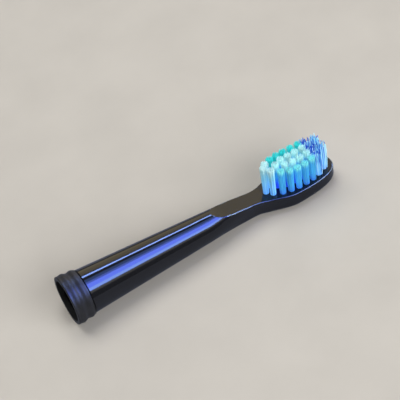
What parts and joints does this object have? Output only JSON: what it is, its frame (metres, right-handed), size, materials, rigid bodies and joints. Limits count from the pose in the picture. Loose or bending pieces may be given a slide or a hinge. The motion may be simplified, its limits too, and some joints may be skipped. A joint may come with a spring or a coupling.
{
  "type": "electric toothbrush head",
  "caption": "Black clip-on electric toothbrush head with a tapered hollow stem, oval head, blue bristle tufts and a ridged base ring.",
  "frame": {"origin": "centre of the open end, on the axis of the collar bore", "axes": "+X along the stem towards the toe, +Z the way the bristles stand, Y across the head"},
  "size_m": [0.0803, 0.0136, 0.0175],
  "materials": {
    "body_plastic": "gloss black",
    "ring_rubber": "satin dark grey",
    "socket_plastic": "matt black",
    "clip_steel": "bright spring steel",
    "anchor_metal": "plain",
    "main_filament": "translucent aqua blue",
    "heel_filament": "translucent pale blue",
    "toe_filament": "deep blue mixed with white"
  },
  "bodies": {
    "root": {"base_ring": "ring_rubber", "brush_body": "body_plastic", "drive_socket": "socket_plastic", "shaft_clip": "clip_steel", "tuft_0_1": "heel_filament", "tuft_1_1": "heel_filament", "tuft_1_2": "heel_filament", "tuft_2_1": "main_filament", "tuft_2_2": "main_filament", "tuft_2_3": "main_filament", "tuft_3_1": "main_filament", "tuft_3_2": "main_filament", "tuft_3_3": "main_filament", "tuft_3_4": "main_filament", "tuft_4_1": "main_filament", "tuft_4_2": "main_filament", "tuft_4_3": "main_filament", "tuft_4_4": "main_filament", "tuft_5_1": "main_filament", "tuft_5_2": "main_filament", "tuft_5_3": "main_filament", "tuft_5_4": "main_filament", "tuft_6_1": "main_filament", "tuft_6_2": "main_filament", "tuft_6_3": "main_filament", "tuft_6_4": "main_filament", "tuft_7_1": "toe_filament", "tuft_7_2": "toe_filament", "tuft_7_3": "toe_filament", "tuft_8_1": "toe_filament", "tuft_8_2": "toe_filament", "tuft_anchors": "anchor_metal"}
  },
  "joints": []
}
